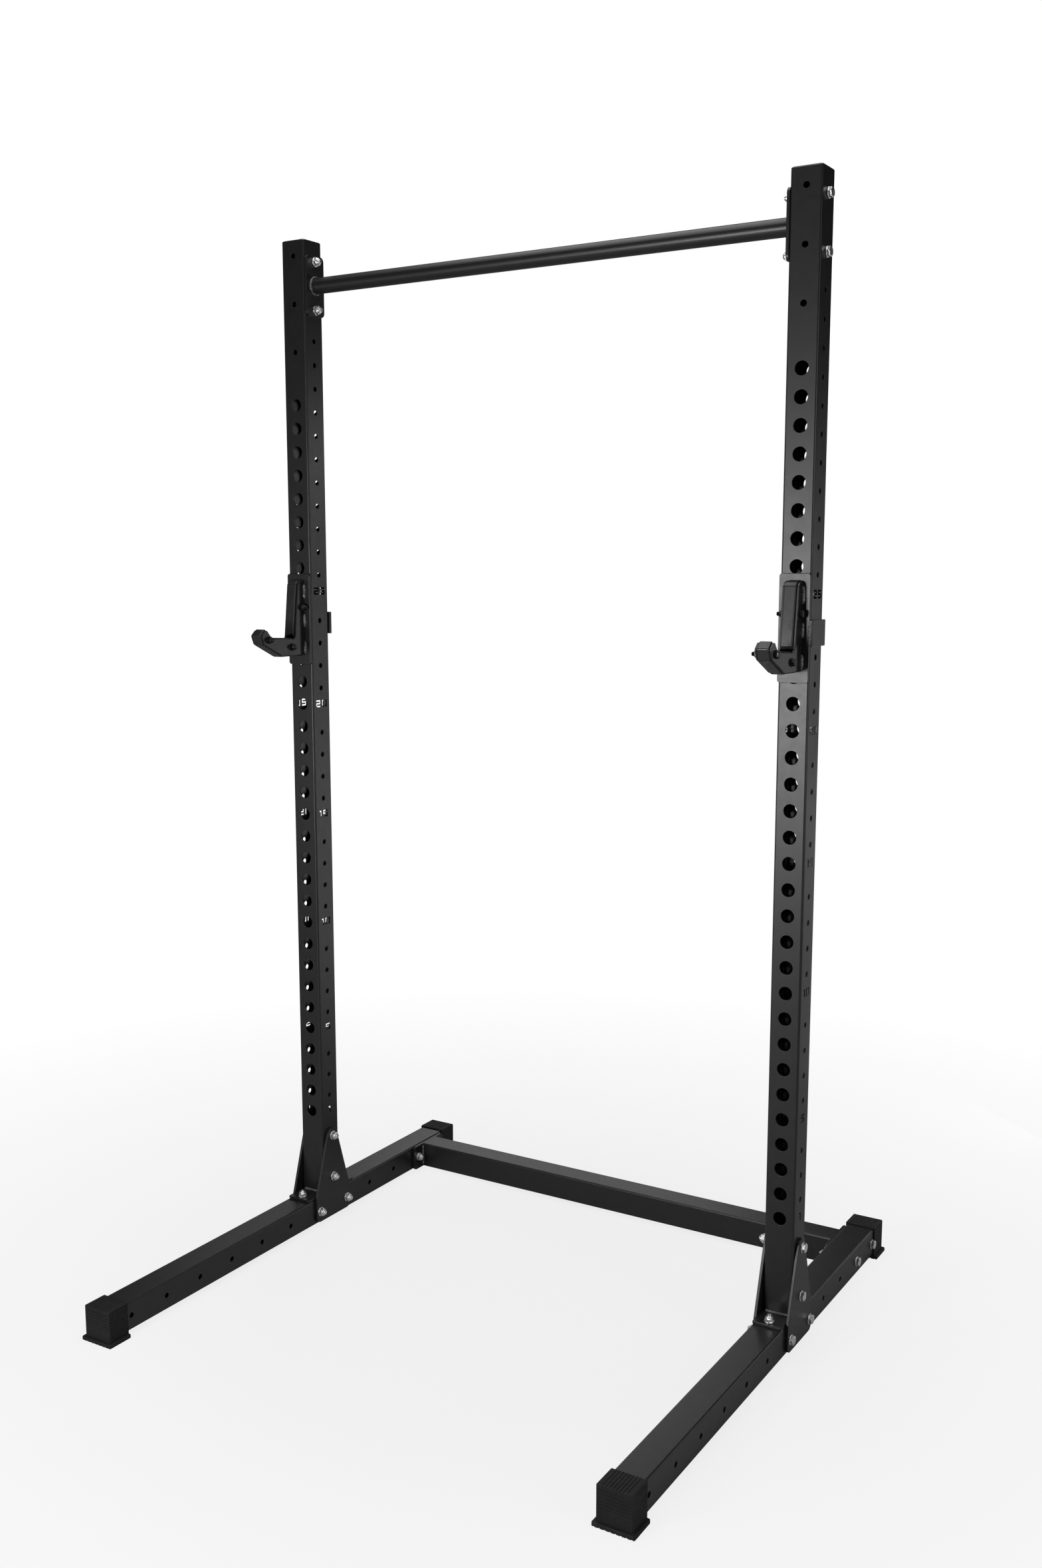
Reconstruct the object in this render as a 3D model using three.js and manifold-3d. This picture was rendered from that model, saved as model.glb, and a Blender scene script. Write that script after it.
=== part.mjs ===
// Squat stand with a pull-up bar: two punched uprights on two base tubes,
// a rear crossmember, four gussets, four rubber boots and two swing-in J-hooks.
// Millimetres, +Z up, +X to the user's right, +Y to the back.
// The origin is on the floor, at the middle of the footprint.

import * as THREE from 'three';
import { mergeVertices } from 'three/addons/utils/BufferGeometryUtils.js';
import Module from 'manifold-3d';

const wasm = await Module();
wasm.setup();

// ---------------------------------------------------------------- driving dimensions

const TUBE = 60;                    // outer size of every square tube
const WALL = 2;                     // its wall
const CORNER = 4;                   // its outer corner radius
const GAP = 0.3;                    // clearance between two pieces that touch
const PLATE = 6;                    // gussets, end plates, foot plates and hook back plates

const SPAN = 1155;                  // upright centre to upright centre
const BASE_LENGTH = 1220;           // base tube, front to back
const SOLE = 10;                    // rubber under the base tubes
const UPRIGHT_Y = 100;              // upright centre line, measured from the middle of the base
const UPRIGHT_TOP = 2213;           // top of the steel, under its cap

const FIRST_HOLE = 272;             // height of hole number 1
const HOLE_PITCH = 50;
const HOLE_COUNT = 33;
const HOLE_RADIUS = 13;
const HOLE_SIDES = 8;
const NUMBERED_HOLES = [1, 5, 10, 15, 20, 25];
const SIDE_HOLE_DROP = 15;          // side holes sit this far below the numbered ones
const SIDE_HOLE_LAST = 36;
const BOLT_HOLE_RADIUS = 5.5;
const BOLT_HOLE_SIDES = 6;
const TOP_HOLES = [1983.5, 2083.5, 2183.5];   // three small holes above the numbered ones
const TOP_HOLE_RADIUS = 6;

const BASE_HOLE_PITCH = 100;        // side holes of the base tubes, 60 from each end
const FOOT_BOLT_OFFSET = 70;        // foot plate bolts, in front of and behind the upright
const FOOT_PLATE_OFFSET = 84;       // half the length of the foot plate

const CROSS_Y = 500;                // rear crossmember centre line
const CROSS_DROP = 2;               // it sits this far below the base tube tops
const CROSS_PLATE_FRONT = 432;
const CROSS_PLATE_BACK = 561;
const CROSS_BOLTS = [450, 550];
const END_PLATE_CORNER = 10;        // rounded corners of the crossmember's and the bar's plates

const BAR_HEIGHT = 2122;
const BAR_RADIUS = 16.85;
const BAR_WALL = 3;
const BAR_PLATE_HEIGHT = 126;
const BAR_BOLT_OFFSET = 50;
const VENT_RADIUS = 6;              // coating vent in the plates that close a tube

const GUSSET_BOLTS = [210, 110];    // heights of its two bolts through the upright
const GUSSET_TOP_RADIUS = 18;
const GUSSET_FOOT = 62;             // half width at the bottom
const GUSSET_BOTTOM = 14;
const GUSSET_CORNER = 12;
const GUSSET_TILT = Math.PI / 11;   // how far each flank leans out

const BOOT_LENGTH = 52;             // from the boot's outer face
const BOOT_WALL = 3.2;
const BOOT_END = 4;
const BOOT_FLANGE = 6;              // the tread stands out this far
const BOOT_FLANGE_HEIGHT = 8;

const CAP_RIM = 4;
const CAP_PLUG = 18;
const CAP_CHAMFER = 2.5;

const HOOK_HOLE = 25;               // the hole that both hooks hang in
const PEG_RADIUS = 11.8;
const PEG_REACH = 60;               // behind the upright's face: it ends in the hole of the back wall
const HOOK_PLATE_TOP = 38;          // above the peg
const HOOK_PLATE_BOTTOM = -161;
const HOOK_CHEEK_INNER = 12;        // the two steel cheeks, either side of the plastic
const HOOK_CHEEK_OUTER = 16;
const LINER_HALF = HOOK_CHEEK_INNER - GAP;
const GUARD_TOP = -46.5;            // the guard that wraps round the upright
const GUARD_BOTTOM = -94.5;
const GUARD_INNER = 31;
const GUARD_PLATE = 5;
const GUARD_OVERHANG = 35;          // how far its return reaches across the back of the upright
const GUARD_BACK_CLEARANCE = 1;     // between the upright and that return
const HOOK_BOLT_CLEARANCE = 0.6;

const HALF = TUBE / 2;
const BASE_TOP = SOLE + TUBE;
const BASE_HOLE_Z = SOLE + HALF;
const FOOT_PLATE_TOP = BASE_TOP + GAP + PLATE;
const OUTER_FACE = HALF + GAP;                 // where a plate against a tube starts
const PLATE_FACE = OUTER_FACE + PLATE;         // and where it ends
const PEG_HEIGHT = FIRST_HOLE + (HOOK_HOLE - 1) * HOLE_PITCH;
const UPRIGHT_FRONT = UPRIGHT_Y - HALF;

// Side view of a hook: Y behind the upright's face (so the hook is all at negative Y), Z above the peg.
const CHEEK_OUTLINE = [
    [-GAP - PLATE, 25], [-20, 21], [-25, 15], [-38, -99], [-43, -104], [-114, -100.5],
    [-120, -97.2], [-134, -82], [-138, -82], [-150.3, -93], [-142.5, -111.5],
    [-82.5, -138.5], [-GAP - PLATE, -138.5],
];
const ARM_LINER_OUTLINE = [
    [-GAP - PLATE - GAP, 26], [-23, 22.5], [-29.5, 16], [-42, -92], [-39, -98.5],
    [-GAP - PLATE - GAP, -98.5],
];
const LIP_LINER_OUTLINE = [
    [-10, -103], [-114, -98], [-119, -95], [-135, -79.5], [-139, -79.5], [-153, -92],
    [-144.5, -113.5], [-83, -141], [-10, -141],
];
const HOOK_BOLTS = [[-15, -35], [-128, -102.5], [-52, -120.7]];

const M10 = { shank: 5, washer: 10.5, washerThickness: 2, across: 17, head: 6.4, nut: 10, tail: 3 };
const M8 = { shank: 4, washer: 8, washerThickness: 1.6, across: 13, head: 5.3, nut: 7, tail: 4.5 };

// ---------------------------------------------------------------- materials

const finish = (color, roughness, metalness) =>
    new THREE.MeshStandardMaterial({ color, roughness, metalness });
const POWDER_COAT = finish(0x3a3a3b, 0.55, 0.2);
const ZINC = finish(0xc9ccce, 0.32, 0.9);
const RUBBER = finish(0x242425, 0.85, 0);
const PLASTIC = finish(0x303031, 0.45, 0);

// ---------------------------------------------------------------- solids

function solid(geometry) {
    geometry.deleteAttribute('normal');
    geometry.deleteAttribute('uv');
    const merged = mergeVertices(geometry, 1e-4);
    return new wasm.Manifold(new wasm.Mesh({
        numProp: 3,
        vertProperties: new Float32Array(merged.attributes.position.array),
        triVerts: new Uint32Array(merged.index.array),
    }));
}

function join(solids) {
    return solids.reduce((whole, piece) => whole.add(piece));
}

function box(x0, x1, y0, y1, z0, z1) {
    const geometry = new THREE.BoxGeometry(x1 - x0, y1 - y0, z1 - z0);
    geometry.translate((x0 + x1) / 2, (y0 + y1) / 2, (z0 + z1) / 2);
    return solid(geometry);
}

// A many-sided rod between two stations on one axis, at (a, b) in the other two.
function rod(axis, from, to, a, b, radius, sides) {
    const geometry = new THREE.CylinderGeometry(radius, radius, to - from, sides);
    const middle = (from + to) / 2;
    if (axis === 'x') {
        geometry.rotateZ(-Math.PI / 2);
        geometry.translate(middle, a, b);
    } else if (axis === 'y') {
        geometry.translate(a, middle, b);
    } else {
        geometry.rotateX(Math.PI / 2);
        geometry.translate(a, b, middle);
    }
    return solid(geometry);
}

// A cutter whose flats, not its corners, lie at the radius, so that a round rod passes through.
function bore(axis, from, to, a, b, radius, sides) {
    return rod(axis, from, to, a, b, radius / Math.cos(Math.PI / sides), sides);
}

function roundedSquare(half, radius) {
    const shape = new THREE.Shape();
    const flat = half - radius;
    shape.absarc(flat, flat, radius, 0, Math.PI / 2);
    shape.absarc(-flat, flat, radius, Math.PI / 2, Math.PI);
    shape.absarc(-flat, -flat, radius, Math.PI, 1.5 * Math.PI);
    shape.absarc(flat, -flat, radius, 1.5 * Math.PI, 2 * Math.PI);
    shape.closePath();
    return shape;
}

// A square tube along Z, centred on the axis.
function squareTube(length) {
    const shape = roundedSquare(HALF, CORNER);
    shape.holes.push(roundedSquare(HALF - WALL, CORNER - WALL));
    return new THREE.ExtrudeGeometry(shape, { depth: length, bevelEnabled: false, curveSegments: 1 });
}

// A flat plate whose outline is drawn in the YZ plane and whose thickness runs along X.
function sidePlate(shape, x0, x1, curveSegments = 3) {
    const depth = x1 - x0;
    const geometry = new THREE.ExtrudeGeometry(shape, { depth, bevelEnabled: false, curveSegments });
    geometry.rotateX(Math.PI / 2);
    geometry.rotateZ(Math.PI / 2);
    geometry.translate(x0, 0, 0);
    return solid(geometry);
}

function outline(points) {
    return new THREE.Shape(points.map(([y, z]) => new THREE.Vector2(y, z)));
}

function roundedPlate(y0, y1, z0, z1, radius) {
    const shape = new THREE.Shape();
    shape.absarc(y1 - radius, z1 - radius, radius, 0, Math.PI / 2);
    shape.absarc(y0 + radius, z1 - radius, radius, Math.PI / 2, Math.PI);
    shape.absarc(y0 + radius, z0 + radius, radius, Math.PI, 1.5 * Math.PI);
    shape.absarc(y1 - radius, z0 + radius, radius, 1.5 * Math.PI, 2 * Math.PI);
    shape.closePath();
    return shape;
}

// ---------------------------------------------------------------- the assembly

const group = new THREE.Group();

function addPiece(name, piece, material) {
    const { vertProperties, triVerts } = piece.getMesh();
    const geometry = new THREE.BufferGeometry();
    geometry.setAttribute('position', new THREE.BufferAttribute(vertProperties, 3));
    geometry.setIndex(new THREE.BufferAttribute(triVerts, 1));
    geometry.computeVertexNormals();
    const mesh = new THREE.Mesh(geometry, material);
    mesh.name = name;
    group.add(mesh);
}

// Hexagon bolt, two washers and a locking nut on one axis. The head bears on headFace and
// the nut on nutFace, and toNut is +1 or -1 along the axis.
function fastener(axis, headFace, nutFace, toNut, a, b, size) {
    const hexRadius = size.across / Math.sqrt(3);
    const part = (start, length, radius, sides) => {
        const from = Math.min(start, start + toNut * length);
        const to = Math.max(start, start + toNut * length);
        return rod(axis, from, to, a, b, radius, sides);
    };
    const headWasher = headFace - toNut * GAP;
    const head = headWasher - toNut * size.washerThickness;
    const nutWasher = nutFace + toNut * GAP;
    const nut = nutWasher + toNut * size.washerThickness;
    const shank = Math.abs(nut - head) + size.nut + size.tail;
    return join([
        part(head - toNut * size.head, size.head + 1, hexRadius, 6),
        part(head, size.washerThickness, size.washer, 10),
        part(nutWasher, size.washerThickness, size.washer, 10),
        part(nut - toNut * 1, size.nut + 1, hexRadius, 6),
        part(head - toNut * 1, shank + 1, size.shank, 6),
    ]);
}

// Stencil figures: each stroke is a box in a cell that is FIGURE_WIDE (or ONE_WIDE) by FIGURE_TALL.
const FIGURE_TALL = 16;
const FIGURE_WIDE = 16.5;
const ONE_WIDE = 8.5;
const FIGURE_SPACE = 4.5;
const STEM = 4.4;                   // width of an upright stroke
const STROKE = 3.4;                 // height of a level stroke
const MID = FIGURE_TALL / 2;
const BRIDGE = 2;                   // half the metal that holds the middle of a nought
const STROKES = {
    top: [0, FIGURE_WIDE, FIGURE_TALL - STROKE, FIGURE_TALL],
    middle: [0, FIGURE_WIDE, MID - STROKE / 2, MID + STROKE / 2],
    bottom: [0, FIGURE_WIDE, 0, STROKE],
    upperLeft: [0, STEM, MID, FIGURE_TALL],
    upperRight: [FIGURE_WIDE - STEM, FIGURE_WIDE, MID, FIGURE_TALL],
    lowerLeft: [0, STEM, 0, MID],
    lowerRight: [FIGURE_WIDE - STEM, FIGURE_WIDE, 0, MID],
    flag: [0, ONE_WIDE, FIGURE_TALL - STROKE, FIGURE_TALL],
    stem: [ONE_WIDE - STEM, ONE_WIDE, 0, FIGURE_TALL],
    topLeft: [0, FIGURE_WIDE / 2 - BRIDGE, FIGURE_TALL - STROKE, FIGURE_TALL],
    topRight: [FIGURE_WIDE / 2 + BRIDGE, FIGURE_WIDE, FIGURE_TALL - STROKE, FIGURE_TALL],
    bottomLeft: [0, FIGURE_WIDE / 2 - BRIDGE, 0, STROKE],
    bottomRight: [FIGURE_WIDE / 2 + BRIDGE, FIGURE_WIDE, 0, STROKE],
};
const FIGURES = {
    0: [
        ['upperLeft', 'lowerLeft', 'topLeft', 'bottomLeft'],
        ['upperRight', 'lowerRight', 'topRight', 'bottomRight'],
    ],
    1: [['flag', 'stem']],
    2: [['top', 'upperRight', 'middle', 'lowerLeft', 'bottom']],
    5: [['top', 'upperLeft', 'middle', 'lowerRight', 'bottom']],
};

const figureWidth = (digit) => (digit === '1' ? ONE_WIDE : FIGURE_WIDE);

// The figures of one number cut through the wall that faces side, read from outside.
function numberCuts(number, xCentre, side, height) {
    const digits = [...String(number)];
    const spaces = FIGURE_SPACE * (digits.length - 1);
    let start = -digits.map(figureWidth).reduce((sum, width) => sum + width, spaces) / 2;
    const wall = [xCentre + side * (HALF - WALL - 1), xCentre + side * (HALF + 1)];
    const x0 = Math.min(...wall);
    const x1 = Math.max(...wall);
    const cuts = [];
    for (const digit of digits) {
        for (const strokes of FIGURES[digit]) {
            cuts.push(join(strokes.map((name) => {
                const [u0, u1, z0, z1] = STROKES[name];
                const ends = [UPRIGHT_Y + side * (start + u0), UPRIGHT_Y + side * (start + u1)];
                const base = height - MID;
                return box(x0, x1, Math.min(...ends), Math.max(...ends), base + z0, base + z1);
            })));
        }
        start += figureWidth(digit) + FIGURE_SPACE;
    }
    return cuts;
}

function upright(xCentre) {
    const tube = squareTube(UPRIGHT_TOP - FOOT_PLATE_TOP - GAP);
    tube.translate(xCentre, UPRIGHT_Y, FOOT_PLATE_TOP + GAP);
    const front = UPRIGHT_FRONT - 1;
    const back = UPRIGHT_Y + HALF + 1;
    const left = xCentre - HALF - 1;
    const right = xCentre + HALF + 1;
    const cuts = [];
    for (let hole = 1; hole <= HOLE_COUNT; hole += 1) {
        const height = FIRST_HOLE + (hole - 1) * HOLE_PITCH;
        cuts.push(bore('y', front, back, xCentre, height, HOLE_RADIUS, HOLE_SIDES));
    }
    for (const height of TOP_HOLES) {
        cuts.push(bore('y', front, back, xCentre, height, TOP_HOLE_RADIUS, HOLE_SIDES));
    }
    for (let hole = 1; hole <= SIDE_HOLE_LAST; hole += 1) {
        const height = FIRST_HOLE + (hole - 1) * HOLE_PITCH;
        if (NUMBERED_HOLES.includes(hole)) {
            cuts.push(...numberCuts(hole, xCentre, 1, height), ...numberCuts(hole, xCentre, -1, height));
        } else {
            const side = height - SIDE_HOLE_DROP;
            cuts.push(bore('x', left, right, UPRIGHT_Y, side, BOLT_HOLE_RADIUS, BOLT_HOLE_SIDES));
        }
    }
    const boltHeights = [
        ...GUSSET_BOLTS, BAR_HEIGHT - BAR_BOLT_OFFSET, BAR_HEIGHT + BAR_BOLT_OFFSET,
    ];
    for (const height of boltHeights) {
        cuts.push(bore('x', left, right, UPRIGHT_Y, height, BOLT_HOLE_RADIUS, BOLT_HOLE_SIDES));
    }
    return solid(tube).subtract(join(cuts));
}

// The plate under an upright, held down to the base tube by one bolt at each end.
function footPlate(xCentre) {
    const plate = box(
        xCentre - HALF, xCentre + HALF, UPRIGHT_Y - FOOT_PLATE_OFFSET, UPRIGHT_Y + FOOT_PLATE_OFFSET,
        FOOT_PLATE_TOP - PLATE, FOOT_PLATE_TOP);
    const cuts = [-FOOT_BOLT_OFFSET, FOOT_BOLT_OFFSET].map((offset) =>
        bore('z', BASE_TOP, FOOT_PLATE_TOP + 1, xCentre, UPRIGHT_Y + offset,
            BOLT_HOLE_RADIUS, BOLT_HOLE_SIDES));
    return plate.subtract(join(cuts));
}

function baseTube(xCentre) {
    const tube = squareTube(BASE_LENGTH);
    tube.rotateX(-Math.PI / 2);
    tube.translate(xCentre, -BASE_LENGTH / 2, BASE_HOLE_Z);
    const cuts = [];
    const lastHole = BASE_LENGTH / 2 - TUBE;
    for (let y = -lastHole; y <= lastHole; y += BASE_HOLE_PITCH) {
        cuts.push(bore('x', xCentre - HALF - 1, xCentre + HALF + 1, y, BASE_HOLE_Z,
            BOLT_HOLE_RADIUS, BOLT_HOLE_SIDES));
    }
    for (const offset of [-FOOT_BOLT_OFFSET, FOOT_BOLT_OFFSET]) {
        cuts.push(bore('z', SOLE - 1, BASE_TOP + 1, xCentre, UPRIGHT_Y + offset,
            BOLT_HOLE_RADIUS, BOLT_HOLE_SIDES));
    }
    return solid(tube).subtract(join(cuts));
}

function crossmember() {
    const plateOuter = SPAN / 2 - OUTER_FACE;
    const plateInner = plateOuter - PLATE;
    const height = BASE_HOLE_Z - CROSS_DROP;
    const tube = squareTube(2 * plateInner + 2);
    tube.rotateY(Math.PI / 2);
    tube.translate(-plateInner - 1, CROSS_Y, height);
    const pieces = [solid(tube)];
    const cuts = [];
    for (const side of [-1, 1]) {
        const x0 = Math.min(side * plateInner, side * plateOuter);
        const shape = roundedPlate(
            CROSS_PLATE_FRONT, CROSS_PLATE_BACK, height - HALF, height + HALF, END_PLATE_CORNER);
        pieces.push(sidePlate(shape, x0, x0 + PLATE, 1));
        for (const y of CROSS_BOLTS) {
            cuts.push(bore('x', x0 - 1, x0 + PLATE + 1, y, BASE_HOLE_Z, BOLT_HOLE_RADIUS, BOLT_HOLE_SIDES));
        }
        cuts.push(bore('x', x0 - 1, x0 + PLATE + 1, CROSS_Y, height, VENT_RADIUS, 8));
    }
    return join(pieces).subtract(join(cuts));
}

function pullUpBar() {
    const plateOuter = SPAN / 2 - OUTER_FACE;
    const plateInner = plateOuter - PLATE;
    const pieces = [rod('x', -plateInner - 1, plateInner + 1, UPRIGHT_Y, BAR_HEIGHT, BAR_RADIUS, 16)];
    const cuts = [
        bore('x', -plateInner, plateInner, UPRIGHT_Y, BAR_HEIGHT, BAR_RADIUS - BAR_WALL, 16),
    ];
    for (const side of [-1, 1]) {
        const x0 = Math.min(side * plateInner, side * plateOuter);
        const half = BAR_PLATE_HEIGHT / 2;
        const shape = roundedPlate(
            UPRIGHT_Y - HALF, UPRIGHT_Y + HALF, BAR_HEIGHT - half, BAR_HEIGHT + half, END_PLATE_CORNER);
        pieces.push(sidePlate(shape, x0, x0 + PLATE, 1));
        for (const offset of [-BAR_BOLT_OFFSET, BAR_BOLT_OFFSET]) {
            cuts.push(bore('x', x0 - 1, x0 + PLATE + 1, UPRIGHT_Y, BAR_HEIGHT + offset,
                BOLT_HOLE_RADIUS, BOLT_HOLE_SIDES));
        }
        cuts.push(bore('x', x0 - 1, x0 + PLATE + 1, UPRIGHT_Y, BAR_HEIGHT, VENT_RADIUS, 8));
    }
    return join(pieces).subtract(join(cuts));
}

function gusset(x0) {
    const topZ = GUSSET_BOLTS[0];
    const front = UPRIGHT_Y - GUSSET_FOOT;
    const back = UPRIGHT_Y + GUSSET_FOOT;
    const corner = GUSSET_BOTTOM + GUSSET_CORNER;
    const shape = new THREE.Shape();
    shape.absarc(UPRIGHT_Y, topZ, GUSSET_TOP_RADIUS, GUSSET_TILT, Math.PI - GUSSET_TILT);
    shape.lineTo(front, BASE_TOP);
    shape.lineTo(front, corner);
    shape.absarc(front + GUSSET_CORNER, corner, GUSSET_CORNER, Math.PI, 1.5 * Math.PI);
    shape.absarc(back - GUSSET_CORNER, corner, GUSSET_CORNER, 1.5 * Math.PI, 2 * Math.PI);
    shape.lineTo(back, BASE_TOP);
    shape.closePath();
    const cuts = GUSSET_BOLTS.map((height) =>
        bore('x', x0 - 1, x0 + PLATE + 1, UPRIGHT_Y, height, BOLT_HOLE_RADIUS, BOLT_HOLE_SIDES));
    for (const offset of [-BASE_HOLE_PITCH / 2, BASE_HOLE_PITCH / 2]) {
        cuts.push(bore('x', x0 - 1, x0 + PLATE + 1, UPRIGHT_Y + offset, BASE_HOLE_Z,
            BOLT_HOLE_RADIUS, BOLT_HOLE_SIDES));
    }
    return sidePlate(shape, x0, x0 + PLATE).subtract(join(cuts));
}

// A rubber boot over the front (end -1) or back (end +1) of a base tube.
function boot(xCentre, end) {
    const face = BASE_LENGTH / 2 + GAP + BOOT_END;
    const mouth = face - BOOT_LENGTH;
    const half = HALF + GAP + BOOT_WALL;
    const range = (near, far) => (end > 0 ? [near, far] : [-far, -near]);
    const shell = box(xCentre - half, xCentre + half, ...range(mouth, face), 0, BASE_TOP + GAP + BOOT_WALL);
    const tread = half + BOOT_FLANGE;
    const flange = box(xCentre - tread, xCentre + tread,
        ...range(mouth, face + BOOT_FLANGE), 0, BOOT_FLANGE_HEIGHT);
    const cavity = box(xCentre - HALF - GAP, xCentre + HALF + GAP,
        ...range(mouth - 1, face - BOOT_END), SOLE - GAP, BASE_TOP + GAP);
    return shell.add(flange).subtract(cavity);
}

function topCap(xCentre) {
    const rim = box(xCentre - HALF, xCentre + HALF, UPRIGHT_Y - HALF, UPRIGHT_Y + HALF,
        UPRIGHT_TOP + GAP, UPRIGHT_TOP + CAP_RIM - CAP_CHAMFER);
    const top = new THREE.CylinderGeometry(
        (HALF - CAP_CHAMFER) * Math.SQRT2, HALF * Math.SQRT2, CAP_CHAMFER, 4);
    top.rotateY(Math.PI / 4);
    top.rotateX(Math.PI / 2);
    top.translate(xCentre, UPRIGHT_Y, UPRIGHT_TOP + CAP_RIM - CAP_CHAMFER / 2);
    const plug = HALF - WALL - GAP - 1;
    const stem = box(xCentre - plug, xCentre + plug, UPRIGHT_Y - plug, UPRIGHT_Y + plug,
        UPRIGHT_TOP - CAP_PLUG, UPRIGHT_TOP + 1);
    const hollow = box(xCentre - plug + WALL, xCentre + plug - WALL, UPRIGHT_Y - plug + WALL,
        UPRIGHT_Y + plug - WALL, UPRIGHT_TOP - CAP_PLUG - 1, UPRIGHT_TOP);
    return join([rim, solid(top), stem]).subtract(hollow);
}

// ---------------------------------------------------------------- J-hooks
// Each hook is drawn about its peg: X across, Y behind the upright's face, Z above the peg.
// side is +1 on the right and -1 on the left, because the guard is on the outer side.

function placeHook(piece, side) {
    return piece.translate([side * SPAN / 2, UPRIGHT_FRONT, PEG_HEIGHT]);
}

function hookBoltCuts(radius) {
    return join(HOOK_BOLTS.map(([y, z]) =>
        bore('x', -HOOK_CHEEK_OUTER - 1, HOOK_CHEEK_OUTER + 1, y, z, radius, 6)));
}

function hookFrame(side) {
    const across = (a, b) => [Math.min(side * a, side * b), Math.max(side * a, side * b)];
    const cheek = outline(CHEEK_OUTLINE);
    const backOfGuard = TUBE + GUARD_BACK_CLEARANCE;
    const pieces = [
        box(-HALF, HALF, -GAP - PLATE, -GAP, HOOK_PLATE_BOTTOM, HOOK_PLATE_TOP),
        sidePlate(cheek, HOOK_CHEEK_INNER, HOOK_CHEEK_OUTER),
        sidePlate(cheek, -HOOK_CHEEK_OUTER, -HOOK_CHEEK_INNER),
        rod('y', -GAP - 1, PEG_REACH, 0, 0, PEG_RADIUS, 12),
        box(...across(HALF - 1, GUARD_INNER + GUARD_PLATE), -GAP - PLATE, -GAP, GUARD_BOTTOM, GUARD_TOP),
        box(...across(GUARD_INNER, GUARD_INNER + GUARD_PLATE), -1, backOfGuard + GUARD_PLATE,
            GUARD_BOTTOM, GUARD_TOP),
        box(...across(-GUARD_OVERHANG, GUARD_INNER + GUARD_PLATE), backOfGuard,
            backOfGuard + GUARD_PLATE, GUARD_BOTTOM, GUARD_TOP),
    ];
    return join(pieces).subtract(hookBoltCuts(M8.shank + HOOK_BOLT_CLEARANCE));
}

function hookLiner(points) {
    const core = sidePlate(outline(points), -LINER_HALF, LINER_HALF);
    return core.subtract(hookBoltCuts(M8.shank + HOOK_BOLT_CLEARANCE));
}

// ---------------------------------------------------------------- putting it together

for (const [word, side] of [['left', -1], ['right', 1]]) {
    const x = side * SPAN / 2;
    addPiece(`${word}_upright`, upright(x), POWDER_COAT);
    addPiece(`${word}_foot_plate`, footPlate(x), POWDER_COAT);
    addPiece(`${word}_base_tube`, baseTube(x), POWDER_COAT);
    addPiece(`${word}_outer_gusset`, gusset(side > 0 ? x + OUTER_FACE : x - PLATE_FACE), POWDER_COAT);
    addPiece(`${word}_inner_gusset`, gusset(side > 0 ? x - PLATE_FACE : x + OUTER_FACE), POWDER_COAT);
    addPiece(`${word}_front_boot`, boot(x, -1), RUBBER);
    addPiece(`${word}_rear_boot`, boot(x, 1), RUBBER);
    addPiece(`${word}_top_cap`, topCap(x), PLASTIC);

    addPiece(`${word}_hook_frame`, placeHook(hookFrame(side), side), POWDER_COAT);
    addPiece(`${word}_hook_arm_liner`, placeHook(hookLiner(ARM_LINER_OUTLINE), side), PLASTIC);
    addPiece(`${word}_hook_lip_liner`, placeHook(hookLiner(LIP_LINER_OUTLINE), side), PLASTIC);
    const hookFace = side * HOOK_CHEEK_OUTER;
    ['arm', 'lip', 'seat'].forEach((place, index) => {
        const [y, z] = HOOK_BOLTS[index];
        const bolt = fastener('x', hookFace, -hookFace, -side, y, z, M8);
        addPiece(`${word}_hook_${place}_bolt`, placeHook(bolt, side), ZINC);
    });

    const outside = x + side * HALF;
    const gussetOuter = x + side * PLATE_FACE;
    const plateInner = x - side * PLATE_FACE;
    const throughGusset = (y, z) => fastener('x', gussetOuter, plateInner, -side, y, z, M10);
    const throughTube = (y, z) => fastener('x', outside, plateInner, -side, y, z, M10);
    addPiece(`${word}_gusset_top_bolt`, throughGusset(UPRIGHT_Y, GUSSET_BOLTS[0]), ZINC);
    addPiece(`${word}_gusset_middle_bolt`, throughGusset(UPRIGHT_Y, GUSSET_BOLTS[1]), ZINC);
    addPiece(`${word}_gusset_front_bolt`,
        throughGusset(UPRIGHT_Y - BASE_HOLE_PITCH / 2, BASE_HOLE_Z), ZINC);
    addPiece(`${word}_gusset_rear_bolt`,
        throughGusset(UPRIGHT_Y + BASE_HOLE_PITCH / 2, BASE_HOLE_Z), ZINC);
    addPiece(`${word}_bar_lower_bolt`, throughTube(UPRIGHT_Y, BAR_HEIGHT - BAR_BOLT_OFFSET), ZINC);
    addPiece(`${word}_bar_upper_bolt`, throughTube(UPRIGHT_Y, BAR_HEIGHT + BAR_BOLT_OFFSET), ZINC);
    addPiece(`${word}_crossmember_front_bolt`, throughTube(CROSS_BOLTS[0], BASE_HOLE_Z), ZINC);
    addPiece(`${word}_crossmember_rear_bolt`, throughTube(CROSS_BOLTS[1], BASE_HOLE_Z), ZINC);
    for (const [place, offset] of [['front', -FOOT_BOLT_OFFSET], ['rear', FOOT_BOLT_OFFSET]]) {
        addPiece(`${word}_foot_plate_${place}_bolt`,
            fastener('z', SOLE, FOOT_PLATE_TOP, 1, x, UPRIGHT_Y + offset, M10), ZINC);
    }
}
addPiece('rear_crossmember', crossmember(), POWDER_COAT);
addPiece('pull_up_bar', pullUpBar(), POWDER_COAT);

export default group;
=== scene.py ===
"""Squat stand with a pull-up bar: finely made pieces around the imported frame.

Mesh code works in millimetres in the frame's own axes, and piece() turns it into metres.
"""
import math
import random

import bmesh
import bpy
from mathutils import Matrix, Vector

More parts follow.
